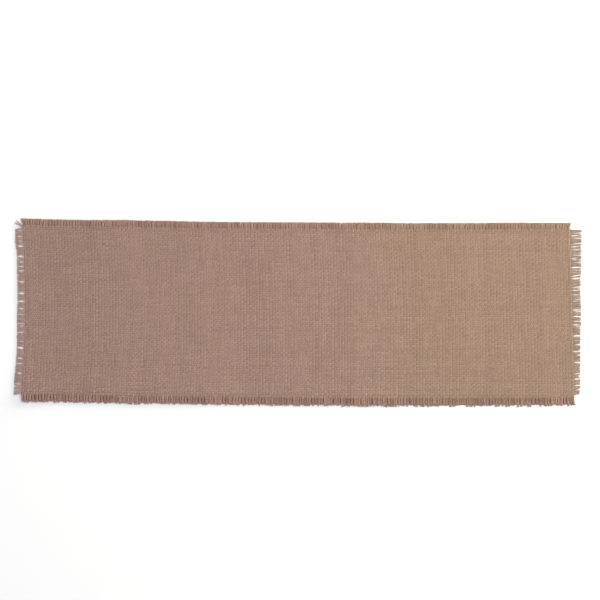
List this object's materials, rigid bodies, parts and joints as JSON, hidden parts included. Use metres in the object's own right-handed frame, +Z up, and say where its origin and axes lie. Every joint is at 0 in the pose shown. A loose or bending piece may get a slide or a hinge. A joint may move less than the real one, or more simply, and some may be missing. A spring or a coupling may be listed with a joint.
{
  "type": "table runner",
  "caption": "Long flat table runner in a heavy woven cloth, with short frayed fringes on all four sides and a row of stay stitching inside them.",
  "frame": {"origin": "middle of the runner's footprint, on the surface that it lies on", "axes": "+X along the runner, +Y across it, +Z up out of its top face"},
  "size_m": [1.3999, 0.4573, 0.002],
  "materials": {
    "woven_cloth": "matte",
    "warp_yarn": "matte",
    "weft_yarn": "matte",
    "stitch_thread": "satin"
  },
  "bodies": {
    "root": {"woven_panel": "woven_cloth", "fringe_left": "warp_yarn", "fringe_right": "warp_yarn", "fringe_front": "weft_yarn", "fringe_back": "weft_yarn", "stitching_left": "stitch_thread", "stitching_right": "stitch_thread", "stitching_front": "stitch_thread", "stitching_back": "stitch_thread"}
  },
  "joints": []
}
